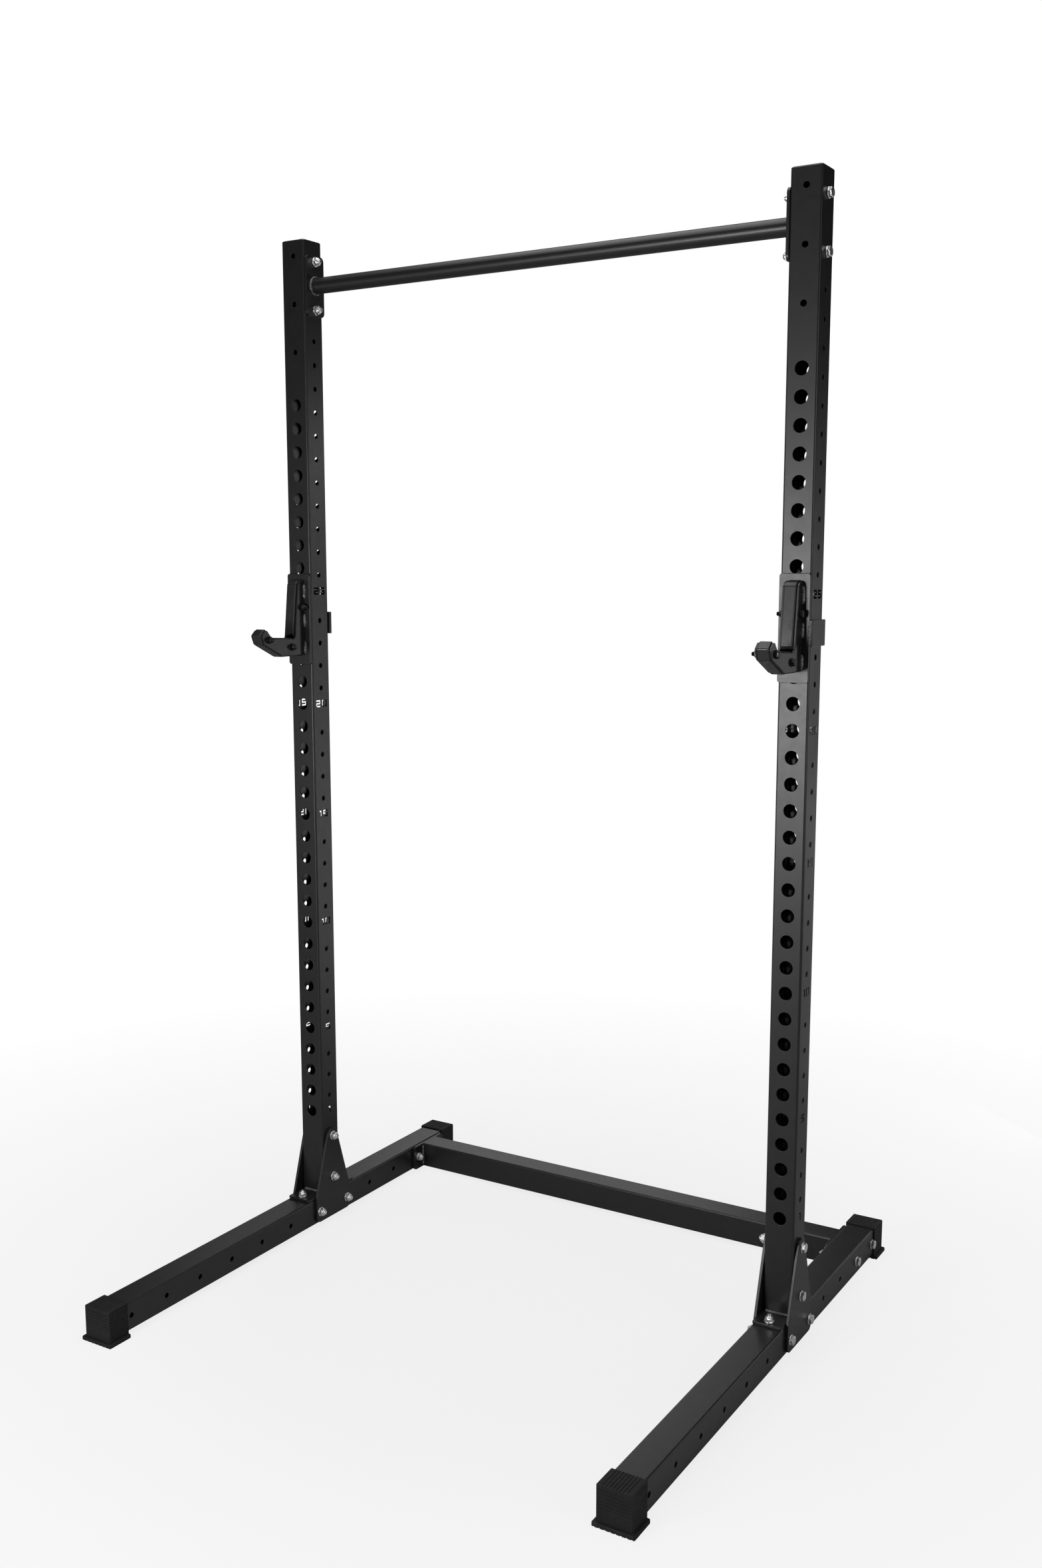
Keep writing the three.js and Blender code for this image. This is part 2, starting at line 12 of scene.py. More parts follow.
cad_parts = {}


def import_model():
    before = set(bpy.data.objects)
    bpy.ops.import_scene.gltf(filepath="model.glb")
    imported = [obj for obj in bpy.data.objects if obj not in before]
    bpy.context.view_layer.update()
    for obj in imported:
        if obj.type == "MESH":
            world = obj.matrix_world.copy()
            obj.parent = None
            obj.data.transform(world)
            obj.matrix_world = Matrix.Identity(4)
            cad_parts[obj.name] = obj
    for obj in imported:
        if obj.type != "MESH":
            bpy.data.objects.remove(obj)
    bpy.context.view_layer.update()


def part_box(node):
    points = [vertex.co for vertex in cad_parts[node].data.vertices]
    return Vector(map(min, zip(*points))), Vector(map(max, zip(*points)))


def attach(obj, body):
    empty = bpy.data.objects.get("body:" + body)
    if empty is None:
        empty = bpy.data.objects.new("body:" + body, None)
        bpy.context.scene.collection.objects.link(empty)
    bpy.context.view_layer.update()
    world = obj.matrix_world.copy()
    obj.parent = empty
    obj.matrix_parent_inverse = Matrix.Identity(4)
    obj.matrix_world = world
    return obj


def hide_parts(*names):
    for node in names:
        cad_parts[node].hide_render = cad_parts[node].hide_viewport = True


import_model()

MM = 0.001

# ---------------------------------------------------------------- driving dimensions, millimetres

TUBE = 60                       # square tube, outside
WALL = 2
CORNER = 4
GAP = 0.3                       # between two pieces that touch
PLATE = 6
EDGE = 0.8                      # rounding of cut plate edges
LIP = 0.6                       # rounding where a hole breaks out of a wall

FIRST_HOLE = 272                # height of hole number 1
HOLE_PITCH = 50
HOLE_COUNT = 33
HOLE_RADIUS = 13
NUMBERED_HOLES = (1, 5, 10, 15, 20, 25)
SIDE_HOLE_DROP = 15
SIDE_HOLE_LAST = 36
BOLT_HOLE = 5.5
TOP_HOLES = (1983.5, 2083.5, 2183.5)
TOP_HOLE = 6

BASE_HOLE_PITCH = 100
FOOT_BOLT_OFFSET = 70
GUSSET_BOLTS = (210, 110)
GUSSET_TOP_RADIUS = 18
GUSSET_TILT = math.pi / 11
GUSSET_CORNER = 12
CROSS_BOLTS = (450, 550)
BAR_RADIUS = 16.85
BAR_BOLT_OFFSET = 50
END_PLATE_CORNER = 10

HOOK_HOLE = 25
PEG_RADIUS = 11.8
PEG_REACH = 60
HOOK_PLATE = (-161, 38)         # bottom and top of its back plate, above the peg
CHEEK = (12, 16)                # inner and outer face of each steel cheek
GUARD = (-94.5, -46.5)          # bottom and top of the guard
GUARD_INNER = 31
GUARD_PLATE = 5
GUARD_OVERHANG = 35
GUARD_BACK_CLEARANCE = 1
GUARD_BEND = 3                  # inner radius of the guard's bends

# Side view of a hook: (behind the upright's face, above the peg), with the corner radius.
CHEEK_OUTLINE = (
    (-6.3, 25, 0), (-20, 21, 5), (-25, 15, 5), (-38, -99, 3), (-43, -104, 2), (-114, -100.5, 3),
    (-120, -97.2, 3), (-134, -82, 3), (-138, -82, 2), (-150.3, -93, 4), (-142.5, -111.5, 6),
    (-82.5, -138.5, 8), (-6.3, -138.5, 2),
)
ARM_LINER_OUTLINE = (
    (-6.6, 26, 0), (-23, 22.5, 5), (-29.5, 16, 6), (-42, -92, 4), (-39, -98.5, 4), (-6.6, -98.5, 2),
)
LIP_LINER_OUTLINE = (
    (-10, -103, 2), (-114, -98, 4), (-119, -95, 4), (-135, -79.5, 3), (-139, -79.5, 3),
    (-153, -92, 4), (-144.5, -113.5, 6), (-83, -141, 8), (-10, -141, 2),
)
HOOK_BOLTS = {"arm": (-15, -35), "lip": (-128, -102.5), "seat": (-52, -120.7)}

# Bolt sizes: shank and washer are radii, across is over the hexagon's flats, tail is the thread past the nut.
M10 = {
    "shank": 5, "pitch": 1.5, "washer": 10.5, "thick": 2,
    "across": 17, "head": 6.4, "nut": 10, "tail": 3,
}
M8 = {
    "shank": 4, "pitch": 1.25, "washer": 8, "thick": 1.6,
    "across": 13, "head": 5.3, "nut": 7, "tail": 4.5,
}

FIGURE_TALL = 16
FIGURE_WIDE = 16.5
ONE_WIDE = 8.5
FIGURE_SPACE = 4.5
STEM = 4.4                      # width of an upright stroke
STROKE = 3.4                    # height of a level stroke
STROKE_CORNER = 1.3
BRIDGE = 2                      # half the metal that holds the middle of a nought

BOOT_WALL = 3.2
BOOT_END = 4
BOOT_CORNER = 2.6
BOOT_FLANGE_HEIGHT = 8
RIBS_TOP = 8
RIBS_SIDE = 10
RIBS_FACE = 6
RIB_PITCH = 6.3
RIB_DEPTH = 1.3
RIB_FACE_DEPTH = 1.2
RIB_SIDE_START = 4.5            # first side groove below the boot's top
RIB_FACE_START = 9              # first front groove below the boot's top
TREADS = 8
TREAD_RADIUS = 1.7

CAP_CHAMFER = 2.5
CAP_RIM = 4
CAP_WALL = 3

FOOT_WELD = 2.7                 # radii of the weld beads
TUBE_WELD = 2.6
CHEEK_WELD = 3.4
GUARD_WELD = 2.3
CHEEK_WELDS = ((15, -17), (-49, -79), (-109, -137))     # each bead's top and bottom, above the peg
WELD_SIDES = 10
WELD_RIPPLE = 0.14              # how far a ripple swells, as a share of the bead's radius
WELD_WAVER = 0.07               # and its random part

SHARP = 0.05                    # smallest corner radius
ROUND_SIDES = 32
BIG_HOLE_SIDES = 40
SMALL_HOLE_SIDES = 24
SMOOTH_ANGLE = math.radians(50)


def span(node):
    """Lowest and highest corner of a CAD node, in millimetres."""
    low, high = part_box(node)
    return low / MM, high / MM


def centre(node):
    low, high = span(node)
    return (low + high) / 2


# ---------------------------------------------------------------- camera

def make_camera():
    """The camera of the main view: in front of the right upright, at chest height."""
    camera = bpy.data.objects.new("camera", bpy.data.cameras.new("camera"))
    bpy.context.scene.collection.objects.link(camera)
    camera.location = (1.6198, -2.6318, 1.5226)
    camera.rotation_euler = [math.radians(angle) for angle in (81.235, 0.2025, 32.0926)]
    camera.data.sensor_width = 36
    camera.data.lens = 35.506
    camera.data.shift_x = 0.0182
    camera.data.shift_y = 0.0139
    bpy.context.scene.camera = camera


# ---------------------------------------------------------------- material helpers

def add(nodes, kind, **values):
    """A shader node with named inputs or properties set."""
    node = nodes.new(kind)
    for key, value in values.items():
        if key in node.inputs:
            node.inputs[key].default_value = value
        else:
            setattr(node, key, value)
    return node


class Surface:
    """One procedural material with textures in the object's own space."""

    def __init__(self, name, **settings):
        self.material = bpy.data.materials.new(name)
        self.material.use_nodes = True
        self.nodes = self.material.node_tree.nodes
        self.links = self.material.node_tree.links
        self.shader = self.nodes["Principled BSDF"]
        self.space = self.nodes.new("ShaderNodeTexCoord").outputs["Object"]
        self.height = None
        for socket, value in settings.items():
            self.shader.inputs[socket].default_value = value

    def noise(self, scale, detail=4, stretch=(1, 1, 1)):
        space = self.space
        if stretch != (1, 1, 1):
            mapping = self.nodes.new("ShaderNodeMapping")
            mapping.inputs["Scale"].default_value = stretch
            self.links.new(self.space, mapping.inputs["Vector"])
            space = mapping.outputs["Vector"]
        texture = add(self.nodes, "ShaderNodeTexNoise", Scale=scale, Detail=detail)
        self.links.new(space, texture.inputs["Vector"])
        return texture.outputs["Fac"]

    def blend(self, value, low, high):
        """low to high as a texture value goes through its middle range."""
        ramp = self.nodes.new("ShaderNodeValToRGB")
        ramp.color_ramp.elements[0].position = 0.35
        ramp.color_ramp.elements[0].color = low
        ramp.color_ramp.elements[1].position = 0.65
        ramp.color_ramp.elements[1].color = high
        self.links.new(value, ramp.inputs["Fac"])
        return ramp.outputs["Color"]

    def colour(self, value, low, high):
        self.links.new(self.blend(value, (*low, 1), (*high, 1)), self.shader.inputs["Base Color"])

    def roughness(self, value, low, high):
        grey = self.blend(value, (low,) * 3 + (1,), (high,) * 3 + (1,))
        self.links.new(grey, self.shader.inputs["Roughness"])

    def relief(self, value, strength, depth):
        """One more layer of relief on top of those already made."""
        bump = add(self.nodes, "ShaderNodeBump", Strength=strength, Distance=depth * MM)
        self.links.new(value, bump.inputs["Height"])
        if self.height is not None:
            self.links.new(self.height, bump.inputs["Normal"])
        self.height = bump.outputs["Normal"]
        self.links.new(self.height, self.shader.inputs["Normal"])


def powder_coat():
    surface = Surface("powder_coat")
    surface.colour(surface.noise(30), (0.0085, 0.0085, 0.0088), (0.0105, 0.0105, 0.0108))
    surface.roughness(surface.noise(90, 6), 0.36, 0.385)
    surface.relief(surface.noise(520, 3), 0.5, 0.12)
    return surface.material


def zinc_plate():
    surface = Surface("zinc_plate", Metallic=1.0)
    surface.colour(surface.noise(150, 5), (0.78, 0.80, 0.84), (0.94, 0.93, 0.90))
    surface.roughness(surface.noise(320, 5), 0.26, 0.42)
    surface.relief(surface.noise(900, 2), 0.2, 0.05)
    return surface.material


def dark_steel():
    surface = Surface("dark_steel", Metallic=1.0)
    surface.colour(surface.noise(240, 5), (0.016, 0.015, 0.013), (0.060, 0.053, 0.045))
    surface.roughness(surface.noise(320, 5), 0.30, 0.48)
    surface.relief(surface.noise(900, 2), 0.2, 0.05)
    return surface.material


def black_rubber():
    surface = Surface("black_rubber", **{"Specular IOR Level": 0.35})
    surface.colour(surface.noise(40, 5), (0.0065, 0.0065, 0.0063), (0.0105, 0.0105, 0.010))
    surface.roughness(surface.noise(160, 4), 0.62, 0.78)
    surface.relief(surface.noise(420, 4), 0.35, 0.15)
    return surface.material


def black_plastic():
    surface = Surface("black_plastic")
    surface.colour(surface.noise(25, 5), (0.011, 0.011, 0.0112), (0.016, 0.016, 0.0165))
    surface.roughness(surface.noise(75, 5), 0.30, 0.46)
    surface.relief(surface.noise(45, 4), 0.25, 0.35)
    surface.relief(surface.noise(700, 3), 0.15, 0.06)
    return surface.material


def weld_metal():
    surface = Surface("weld_metal", Metallic=0.35)
    # The beads are painted black like the rest of the frame: this lighter, blotchy grey colour is a painted
    # sheen, the light that the rippled paint catches, not the colour of the paint.
    surface.colour(surface.noise(260, 6), (0.040, 0.040, 0.040), (0.20, 0.20, 0.20))
    surface.roughness(surface.noise(300, 5), 0.26, 0.45)
    surface.relief(surface.noise(420, 4), 0.7, 0.4)
    return surface.material


# ---------------------------------------------------------------- outlines

def arc(a, b, radius, start, end, steps):
    return [
        (a + radius * math.cos(start + (end - start) * step / steps),
         b + radius * math.sin(start + (end - start) * step / steps))
        for step in range(steps + 1)
    ]


def circle(radius, sides=ROUND_SIDES, a=0.0, b=0.0):
    return arc(a, b, radius, 0, 2 * math.pi, sides)[:-1]


def rounded(points, steps=5):
    """An outline with each (a, b, radius) corner turned into an arc."""
    outline = []
    for index, (a, b, radius) in enumerate(points):
        here = Vector((a, b))
        if radius == 0:
            outline.append((a, b))
            continue
        before = (Vector(points[index - 1][:2]) - here).normalized()
        after = (Vector(points[(index + 1) % len(points)][:2]) - here).normalized()
        half = before.angle(after) / 2
        centre = here + (before + after).normalized() * (radius / math.sin(half))
        start = here + before * (radius / math.tan(half)) - centre
        end = here + after * (radius / math.tan(half)) - centre
        turn = start.angle_signed(end)
        for step in range(steps + 1):
            spoke = start.copy()
            spoke.rotate(Matrix.Rotation(-turn * step / steps, 2))
            outline.append(tuple(centre + spoke))
    return outline


def corners(a0, a1, b0, b1, radius=0.0):
    return ((a0, b0, radius), (a1, b0, radius), (a1, b1, radius), (a0, b1, radius))


def rectangle(a0, a1, b0, b1, radius=0.0, steps=5):
    return rounded(corners(a0, a1, b0, b1, radius), steps)


def shrunk(points, distance):
    """The outline that lies distance inside another, with its corner radii to match."""
    turning = sum(
        points[i - 1][0] * points[i][1] - points[i][0] * points[i - 1][1] for i in range(len(points)))
    inward = math.copysign(1, turning)
    result = []
    for index, (a, b, radius) in enumerate(points):
        here = Vector((a, b))
        arriving = (here - Vector(points[index - 1][:2])).normalized()
        leaving = (Vector(points[(index + 1) % len(points)][:2]) - here).normalized()
        normals = [Vector((-way.y, way.x)) * inward for way in (arriving, leaving)]
        moved = here + (normals[0] + normals[1]) * distance / (1 + normals[0].dot(normals[1]))
        convex = arriving.cross(leaving) * inward > 0
        if radius > 0:
            radius = max(SHARP, radius - distance) if convex else radius + distance
        result.append((moved.x, moved.y, radius))
    return result


# ---------------------------------------------------------------- solids

def place(axis, a, b, along):
    """A point from its two coordinates across an axis and one along it."""
    if axis == "x":
        return Vector((along, a, b))
    if axis == "y":
        return Vector((a, along, b))
    return Vector((a, b, along))


def loft(rings, closed=False):
    """A solid through rings of equally many points; closed joins the last ring to the first."""
    body = bmesh.new()
    rows = [[body.verts.new(point) for point in ring] for ring in rings]
    pairs = list(zip(rows, rows[1:]))
    if closed:
        pairs.append((rows[-1], rows[0]))
    else:
        body.faces.new(rows[0])
        body.faces.new(rows[-1])
    for near, far in pairs:
        for index in range(len(near)):
            follow = (index + 1) % len(near)
            body.faces.new((near[index], near[follow], far[follow], far[index]))
    bmesh.ops.recalc_face_normals(body, faces=body.faces)
    return body


def prism(outline, axis, low, high):
    return loft([[place(axis, a, b, along) for a, b in outline] for along in (low, high)])


def slab(points, axis, low, high, soft=EDGE, steps=3, corner_steps=5):
    """A prism whose two rims are rounded to the radius soft."""
    levels = []
    for step in range(steps + 1):
        turn = math.pi / 2 * step / steps
        levels.append((soft * (1 - math.cos(turn)), soft * (1 - math.sin(turn))))
    rings = []
    for along, way, order in ((low, 1, levels), (high, -1, levels[::-1])):
        for rise, inset in order:
            outline = rounded(shrunk(points, inset), corner_steps)
            rings.append([place(axis, a, b, along + way * rise) for a, b in outline])
    return loft(rings)


def block(low, high):
    return prism(rectangle(low[0], high[0], low[1], high[1]), "z", low[2], high[2])


def turned(profile, axis, a, b, sides=ROUND_SIDES, closed=False):
    """A turned solid from (along, radius) points; closed gives it a bore."""
    rings = [
        [place(axis, u, v, along) for u, v in circle(radius, sides, a, b)]
        for along, radius in profile
    ]
    return loft(rings, closed)


def tube(axis, a, b, low, high):
    """The square tube that the whole stand is made of."""
    outer = [(a + u, b + v) for u, v in rectangle(*(-TUBE / 2, TUBE / 2) * 2, CORNER)]
    inside = TUBE / 2 - WALL
    inner = [(a + u, b + v) for u, v in rectangle(*(-inside, inside) * 2, CORNER - WALL)]
    rings = [
        [place(axis, u, v, along) for u, v in outline]
        for outline, along in ((outer, low), (outer, high), (inner, high), (inner, low))
    ]
    return loft(rings, closed=True)


def together(bodies):
    """Several solids as one mesh, side by side."""
    whole = bmesh.new()
    for body in bodies:
        mesh = bpy.data.meshes.new("part")
        body.to_mesh(mesh)
        whole.from_mesh(mesh)
        bpy.data.meshes.remove(mesh)
    return whole


def loose(body):
    """An object outside the model that holds a body while a modifier works on it."""
    thing = bpy.data.objects.new("work", bpy.data.meshes.new("work"))
    body.to_mesh(thing.data)
    bpy.context.scene.collection.objects.link(thing)
    return thing


def modified(body, kind, **settings):
    """The body as one modifier leaves it."""
    thing = loose(body)
    modifier = thing.modifiers.new(kind, kind)
    for key, value in settings.items():
        setattr(modifier, key, value)
    graph = bpy.context.evaluated_depsgraph_get()
    mesh = bpy.data.meshes.new_from_object(thing.evaluated_get(graph))
    result = bmesh.new()
    result.from_mesh(mesh)
    bpy.data.meshes.remove(mesh)
    bpy.data.meshes.remove(thing.data)
    return result


def carved(body, cutters, operation="DIFFERENCE"):
    tool = loose(together(cutters))
    result = modified(body, "BOOLEAN", object=tool, operation=operation, solver="EXACT")
    bpy.data.meshes.remove(tool.data)
    return result


def hole(axis, face, depth, a, b, radius, sides=ROUND_SIDES):
    """A cutter for a round hole that goes depth (signed) into the metal, rounded at the face."""
    way = math.copysign(1, depth)
    profile = ((face - way, radius + LIP + 1), (face + way * LIP, radius), (face + depth + way, radius))
    return turned(profile, axis, a, b, sides)


def through(axis, low, high, a, b, radius):
    """A cutter for a hole through a plate, rounded at both faces."""
    wide = radius + LIP + 1
    profile = ((low - 1, wide), (low + LIP, radius), (high - LIP, radius), (high + 1, wide))
    return turned(profile, axis, a, b, SMALL_HOLE_SIDES)


def bead(points, radius, seed, closed=False, ripple=2.2):
    """A weld bead along points that lie close together, with the ripples of the weld pool."""
    chance = random.Random(seed)
    rings = []
    walked = 0.0
    count = len(points)
    length = sum((points[i + 1] - points[i]).length for i in range(count - 1))
    for index, point in enumerate(points):
        ahead = points[(index + 1) % count] if closed else points[min(index + 1, count - 1)]
        behind = points[index - 1] if closed or index else points[0]
        forward = (ahead - behind).normalized()
        across = forward.orthogonal().normalized()
        over = forward.cross(across)
        if index:
            walked += (point - points[index - 1]).length
        swell = 1 + WELD_RIPPLE * abs(math.sin(math.pi * walked / ripple))
        swell += chance.uniform(-WELD_WAVER, WELD_WAVER)
        to_end = min(walked, length - walked) / (1.6 * radius)
        end = 1.0 if closed else min(1, math.sqrt(max(0.02, to_end)))
        size = radius * swell * end
        rings.append([
            point + (across * math.cos(turn) + over * math.sin(turn)) * size
            for turn in (2 * math.pi * step / WELD_SIDES for step in range(WELD_SIDES))
        ])
    return loft(rings, closed)


def straight(start, end, step=0.55):
    start = Vector(start)
    end = Vector(end)
    count = max(4, round((end - start).length / step))
    return [start.lerp(end, index / count) for index in range(count + 1)]


# ---------------------------------------------------------------- pieces

MATERIALS = {
    "black_powder_coat": powder_coat(),
    "zinc_plate": zinc_plate(),
    "black_oxide": dark_steel(),
    "black_rubber": black_rubber(),
    "black_plastic": black_plastic(),
    # weld: black painted beads whose colour carries a painted sheen
    "weld": weld_metal(),
}


def piece(name, body, rides, finish, stands_for=()):
    """A finished piece in the scene: its body, its material and the CAD nodes it replaces."""
    mesh = bpy.data.meshes.new(name)
    body.to_mesh(mesh)
    mesh.transform(Matrix.Scale(MM, 4))
    mesh.materials.append(MATERIALS[finish])
    mesh.polygons.foreach_set("use_smooth", [True] * len(mesh.polygons))
    mesh.set_sharp_from_angle(angle=SMOOTH_ANGLE)
    thing = bpy.data.objects.new(name, mesh)
    bpy.context.scene.collection.objects.link(thing)
    thing.modifiers.new("normals", "WEIGHTED_NORMAL").keep_sharp = True
    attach(thing, rides)
    if stands_for:
        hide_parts(*stands_for)
    return thing


# ---------------------------------------------------------------- fasteners
# Each is drawn along +Z from its head to its nut, with z = 0 where the head's washer bears.

HEX_STEPS = 36


def hexagon_radius(across, turn):
    sixth = math.pi / 3
    return across / 2 / math.cos((turn + sixth / 2) % sixth - sixth / 2)


def hexagon_ring(across, height, limit=None, slope=0.0):
    """A hexagon that a cone with the given slope cuts back to the limit radius at height."""
    ring = []
    for step in range(HEX_STEPS):
        turn = 2 * math.pi * step / HEX_STEPS
        radius = hexagon_radius(across, turn)
        drop = 0.0 if limit is None else max(0.0, radius - limit) * slope
        ring.append(Vector((radius * math.cos(turn), radius * math.sin(turn), height + drop)))
    return ring


def round_ring(radius, height):
    return [Vector((a, b, height)) for a, b in circle(radius, HEX_STEPS)]


def washer(size, low):
    outer = size["washer"]
    bore = size["shank"] + 0.5
    high = low + size["thick"]
    soft = 0.3
    profile = [
        (low, bore), (low, outer - soft), (low + soft, outer),
        (high - soft, outer), (high, outer - soft), (high, bore),
    ]
    return turned(profile, "z", 0, 0, closed=True)


def bolt_head(size, bearing):
    """A hexagon head standing on z = bearing and reaching down from it."""
    across = size["across"]
    top = bearing - size["head"]
    limit = across * 0.475
    return loft([
        round_ring(limit * 0.9, top),
        round_ring(limit, top + 0.25),
        hexagon_ring(across, top + 0.3, limit, 0.58),
        hexagon_ring(across, bearing),
    ])


def lock_nut(size, low):
    """A hexagon nut with the domed collar that holds its locking ring."""
    across = size["across"]
    limit = across * 0.475
    shoulder = low + size["nut"] * 0.66
    high = low + size["nut"]
    bore = size["shank"] + 0.05
    collar = across * 0.43
    return loft([
        round_ring(bore, low),
        round_ring(limit, low),
        hexagon_ring(across, low + 0.1, limit, 0.58),
        hexagon_ring(across, shoulder - 0.1, limit, -0.58),
        round_ring(limit, shoulder),
        round_ring(collar, shoulder + 0.4),
        round_ring(collar, high - 1.4),
        round_ring(collar * 0.93, high - 0.45),
        round_ring(collar * 0.82, high),
        round_ring(bore + 0.3, high),
        round_ring(bore, high - 0.4),
    ], closed=True)


def threaded_end(size, low, high):
    """A rod whose surface follows a screw thread, with a chamfered end."""
    sides = 24
    pitch = size["pitch"]
    depth = pitch * 0.55
    steps = math.ceil((high - low) / (pitch / 6))
    rings = []
    for step in range(steps + 1):
        height = low + (high - low) * step / steps
        chamfer = max(0.0, 0.9 - (high - height)) * 0.8
        ring = []
        for side in range(sides):
            turn = 2 * math.pi * side / sides
            phase = (height / pitch - side / sides) % 1
            radius = size["shank"] - depth * abs(2 * phase - 1) - chamfer
            ring.append(Vector((radius * math.cos(turn), radius * math.sin(turn), height)))
        rings.append(ring)
    return loft(rings)


def fastener(size, grip):
    """Bolt, two washers and locking nut round plates that are grip thick."""
    head_washer = -GAP - size["thick"]
    nut_washer = grip + GAP
    nut = nut_washer + size["thick"]
    end = nut + size["nut"] + size["tail"]
    thread = nut - 1
    shank = turned([(head_washer, size["shank"] - 0.1), (thread, size["shank"] - 0.1)], "z", 0, 0, 24)
    return together([
        bolt_head(size, head_washer), washer(size, head_washer), shank,
        washer(size, nut_washer), lock_nut(size, nut), threaded_end(size, thread, end),
    ])


def set_fastener(node, axis, head_face, nut_face, a, b, size, rides="frame", finish="zinc_plate"):
    """One bolt from its head's face to its nut's, turned a little so that no two look alike."""
    way = 1 if nut_face > head_face else -1
    body = fastener(size, abs(nut_face - head_face))
    turn = random.Random(node).uniform(0, math.pi / 3)
    across = place(axis, 1, 0, 0)
    along = place(axis, 0, 0, way)
    basis = Matrix((across, along.cross(across), along)).transposed().to_4x4()
    moved = Matrix.Translation(place(axis, a, b, head_face)) @ basis @ Matrix.Rotation(turn, 4, "Z")
    body.transform(moved)
    piece(node + "_set", body, rides, finish, [node])


# ---------------------------------------------------------------- numbered uprights

def stroke(points):
    """The outline of a stencil stroke that follows level and upright stretches."""
    sides = ([], [])
    for index, point in enumerate(points):
        here = Vector(point)
        ways = []
        if index:
            ways.append((here - Vector(points[index - 1])).normalized())
        if index + 1 < len(points):
            ways.append((Vector(points[index + 1]) - here).normalized())
        aside = -sum(way.y for way in ways) * STEM / 2
        above = sum(way.x for way in ways) * STROKE / 2
        offset = Vector((aside, above))
        sides[0].append(here + offset)
        sides[1].append(here - offset)
    return rounded([(*corner, STROKE_CORNER) for corner in sides[0] + sides[1][::-1]], 3)


def figure_width(figure):
    return ONE_WIDE if figure == "1" else FIGURE_WIDE


def figure_strokes(figure):
    """The centre lines of one figure's strokes, in a cell that starts at (0, 0)."""
    left, right = STEM / 2, FIGURE_WIDE - STEM / 2
    low, middle, high = STROKE / 2, FIGURE_TALL / 2, FIGURE_TALL - STROKE / 2
    bracket_end = FIGURE_WIDE / 2 - BRIDGE
    bracket = [(bracket_end, high), (left, high), (left, low), (bracket_end, low)]
    stem = ONE_WIDE - STEM / 2
    return {
        "0": [bracket, [(FIGURE_WIDE - a, b) for a, b in bracket]],
        "1": [[(0, high), (stem, high), (stem, 0)]],
        "2": [[
            (0, high), (right, high), (right, middle), (left, middle), (left, low), (FIGURE_WIDE, low)]],
        "5": [[
            (FIGURE_WIDE, high), (left, high), (left, middle), (right, middle), (right, low), (0, low)]],
    }[figure]


def number_cutters(number, x, y, side, height):
    """Cutters for one number in the wall that faces side, read from outside."""
    digits = str(number)
    start = -(sum(map(figure_width, digits)) + FIGURE_SPACE * (len(digits) - 1)) / 2
    near, far = sorted((x + side * (TUBE / 2 - WALL - 1), x + side * (TUBE / 2 + 1)))
    cutters = []
    for digit in digits:
        for path in figure_strokes(digit):
            moved = [(start + a, height - FIGURE_TALL / 2 + b) for a, b in path]
            cutters.append(prism([(y + side * a, b) for a, b in stroke(moved)], "x", near, far))
        start += figure_width(digit) + FIGURE_SPACE
    return cutters


def upright(word):
    """One upright with its large holes, side holes and cut-out numbers."""
    low, high = span(f"{word}_upright")
    x, y = (low.x + high.x) / 2, (low.y + high.y) / 2
    half = TUBE / 2
    cutters = []

    def across(axis, a, b, radius, sides=ROUND_SIDES):
        middle = y if axis == "y" else x
        for way in (-1, 1):
            cutters.append(hole(axis, middle + way * half, -way * WALL, a, b, radius, sides))

    for number in range(1, HOLE_COUNT + 1):
        across("y", x, FIRST_HOLE + (number - 1) * HOLE_PITCH, HOLE_RADIUS, BIG_HOLE_SIDES)
    for height in TOP_HOLES:
        across("y", x, height, TOP_HOLE)
    for number in range(1, SIDE_HOLE_LAST + 1):
        height = FIRST_HOLE + (number - 1) * HOLE_PITCH
        if number in NUMBERED_HOLES:
            cutters += number_cutters(number, x, y, 1, height)
            cutters += number_cutters(number, x, y, -1, height)
        else:
            across("x", y, height - SIDE_HOLE_DROP, BOLT_HOLE, SMALL_HOLE_SIDES)
    bar_height = centre("pull_up_bar").z
    for height in (*GUSSET_BOLTS, bar_height - BAR_BOLT_OFFSET, bar_height + BAR_BOLT_OFFSET):
        across("x", y, height, BOLT_HOLE, SMALL_HOLE_SIDES)
    body = carved(tube("z", x, y, low.z, high.z), cutters)
    piece(f"{word}_punched_upright", body, "frame", "black_powder_coat", [f"{word}_upright"])


# ---------------------------------------------------------------- the base

def foot_plate(word):
    """The plate under an upright, and the weld beads in front of it and behind it."""
    low, high = span(f"{word}_foot_plate")
    x, y = (low.x + high.x) / 2, (low.y + high.y) / 2
    plate = slab(corners(low.x, high.x, low.y, high.y, 3), "z", low.z, high.z)
    cutters = [
        through("z", low.z, high.z, x, y + offset, BOLT_HOLE)
        for offset in (-FOOT_BOLT_OFFSET, FOOT_BOLT_OFFSET)
    ]
    piece(f"{word}_foot", carved(plate, cutters), "frame", "black_powder_coat", [f"{word}_foot_plate"])
    reach = TUBE / 2 - CORNER
    for way, name in ((-1, "front"), (1, "rear")):
        weld_y = y + way * (TUBE / 2 + 1)
        run = straight((x - reach, weld_y, high.z + 1.2), (x + reach, weld_y, high.z + 1.2))
        weld = bead(run, FOOT_WELD, f"{word}{name}")
        piece(f"{word}_foot_{name}_weld", weld, "frame", "weld")


